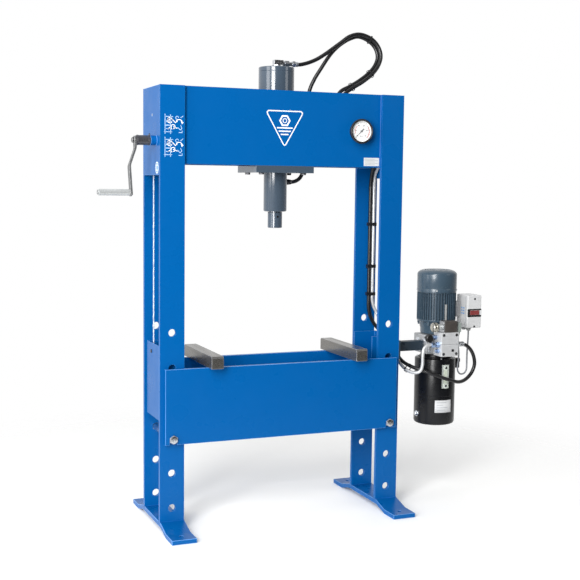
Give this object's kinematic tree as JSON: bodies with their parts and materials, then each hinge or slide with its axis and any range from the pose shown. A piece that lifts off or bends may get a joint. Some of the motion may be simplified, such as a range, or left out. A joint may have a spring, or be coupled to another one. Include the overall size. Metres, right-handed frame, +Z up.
{
  "type": "hydraulic shop press",
  "caption": "Floor-standing hydraulic press: blue flat-bar frame, gauge on the crosshead, winch-lifted table resting on pins, and an electric power unit on the right side.",
  "frame": {"origin": "on the floor, at the middle of the four anchor holes in the feet", "axes": "+Z up, +X to the right seen from the gauge side, +Y to the back"},
  "size_m": [1.732, 0.6, 2.011],
  "materials": {
    "blue_paint": "gloss",
    "grey_paint": "semi-gloss",
    "black_paint": "gloss",
    "dark_steel": "oiled",
    "bright_steel": "ground",
    "zinc": "plated",
    "chrome_rod": "polished",
    "bronze": "machined",
    "cast_alloy": "cast",
    "light_box": "satin",
    "black_plastic": "matte",
    "red_plastic": "gloss",
    "clear_plastic": "clear",
    "hose_rubber": "satin",
    "cable_grey": "matte"
  },
  "bodies": {
    "frame": {"upright_front_left": "blue_paint", "upright_front_right": "blue_paint", "upright_rear_left": "blue_paint", "upright_rear_right": "blue_paint", "foot_left": "blue_paint", "foot_right": "blue_paint", "crosshead_front": "blue_paint", "crosshead_rear": "blue_paint", "crosshead_ends": "blue_paint", "cylinder_plate": "grey_paint", "plate_bolts": "dark_steel", "cylinder_barrel": "grey_paint", "gland_housing": "grey_paint", "gland_bush": "bronze", "port_fittings": "zinc", "gauge_case": "black_plastic", "gauge_glass": "clear_plastic", "gauge_block": "cast_alloy", "winch_brake": "dark_steel", "sheave_axles": "bright_steel", "rope_left": "zinc", "rope_right": "zinc", "rope_cross": "zinc", "unit_bracket": "black_paint", "tank": "black_paint", "pump": "cast_alloy", "manifold": "cast_alloy", "motor_body": "grey_paint", "fan_cowl": "grey_paint", "control_box": "light_box", "valve_block": "cast_alloy", "solenoid": "black_plastic", "level_gauge": "clear_plastic", "hose_top": "hose_rubber", "hose_lower": "hose_rubber", "hose_supply": "hose_rubber", "steel_pipe": "zinc", "cable_valve": "cable_grey"},
    "ram": {"piston_rod": "chrome_rod", "piston": "dark_steel", "ram_nose": "grey_paint"},
    "table": {"table_front": "blue_paint", "table_rear": "blue_paint", "table_guides": "blue_paint", "table_spacers": "blue_paint"},
    "block_left": {"block_left": "bright_steel"},
    "block_right": {"block_right": "bright_steel"},
    "pin_left": {"pin_left": "zinc"},
    "pin_right": {"pin_right": "zinc"},
    "crank": {"crank_arm": "zinc", "winch_reel": "dark_steel"},
    "grip": {"crank_grip": "bright_steel"},
    "guide_sheave": {"guide_sheave": "dark_steel"},
    "cross_sheave_left": {"cross_sheave_left": "dark_steel"},
    "cross_sheave_right": {"cross_sheave_right": "dark_steel"},
    "gauge_pointer": {"gauge_pointer": "black_plastic"},
    "rotor": {"motor_rotor": "bright_steel"},
    "rocker": {"rocker": "red_plastic"},
    "relief_knob": {"relief_knob": "black_plastic"},
    "filler_cap": {"filler_cap": "black_plastic"}
  },
  "joints": [
    {"name": "ram_slide", "type": "slide", "parent": "frame", "child": "ram", "axis": [0, 0, -1], "range_m": [0, 0.28]},
    {"name": "table_lift", "type": "slide", "parent": "frame", "child": "table", "axis": [0, 0, 1], "range_m": [0, 0.43], "deforming": ["rope_left", "rope_right"]},
    {"name": "block_left_slide", "type": "slide", "parent": "table", "child": "block_left", "axis": [1, 0, 0], "range_m": [-0.05, 0.2]},
    {"name": "block_right_slide", "type": "slide", "parent": "table", "child": "block_right", "axis": [1, 0, 0], "range_m": [-0.2, 0.05]},
    {"name": "pin_left_pull", "type": "slide", "parent": "frame", "child": "pin_left", "axis": [0, -1, 0], "range_m": [0, 0.35]},
    {"name": "pin_right_pull", "type": "slide", "parent": "frame", "child": "pin_right", "axis": [0, -1, 0], "range_m": [0, 0.35]},
    {"name": "crank_turn", "type": "hinge", "parent": "frame", "child": "crank", "pos_m": [-0.55, -0.067, 1.539], "axis": [-1, 0, 0], "range_deg": [0, 1370]},
    {"name": "grip_spin", "type": "hinge", "parent": "crank", "child": "grip", "pos_m": [-0.7, -0.12083, 1.33809], "axis": [-1, 0, 0], "continuous": true},
    {"name": "guide_sheave_turn", "type": "hinge", "parent": "frame", "child": "guide_sheave", "pos_m": [-0.508, -0.0105, 1.64], "axis": [1, 0, 0], "range_deg": [0, 645]},
    {"name": "cross_sheave_left_turn", "type": "hinge", "parent": "frame", "child": "cross_sheave_left", "pos_m": [-0.464, -0.085, 1.502], "axis": [0, 1, 0], "range_deg": [0, 1545]},
    {"name": "cross_sheave_right_turn", "type": "hinge", "parent": "frame", "child": "cross_sheave_right", "pos_m": [0.49, -0.085, 1.47], "axis": [0, -1, 0], "range_deg": [0, 1545]},
    {"name": "gauge_needle", "type": "hinge", "parent": "frame", "child": "gauge_pointer", "pos_m": [0.322, -0.142, 1.596], "axis": [0, 1, 0], "range_deg": [0, 270], "stiffness_Nm_per_rad": 0.002},
    {"name": "motor_spin", "type": "hinge", "parent": "frame", "child": "rotor", "pos_m": [0.775, 0, 0.85], "axis": [0, 0, 1], "continuous": true},
    {"name": "switch_rock", "type": "hinge", "parent": "frame", "child": "rocker", "pos_m": [0.929, -0.066, 0.82], "axis": [0, 0, 1], "range_deg": [-8, 8]},
    {"name": "relief_turn", "type": "hinge", "parent": "frame", "child": "relief_knob", "pos_m": [0.685, -0.098, 0.719], "axis": [0, -1, 0], "range_deg": [0, 720]},
    {"name": "cap_lift", "type": "slide", "parent": "frame", "child": "filler_cap", "axis": [0, 0, 1], "range_m": [0, 0.03]}
  ],
  "couplings": [
    {"joint": "crank_turn", "follows": "table_lift", "rad_per_m": 55.556},
    {"joint": "guide_sheave_turn", "follows": "table_lift", "rad_per_m": 25.974},
    {"joint": "cross_sheave_left_turn", "follows": "table_lift", "rad_per_m": 62.5},
    {"joint": "cross_sheave_right_turn", "follows": "table_lift", "rad_per_m": 62.5}
  ]
}
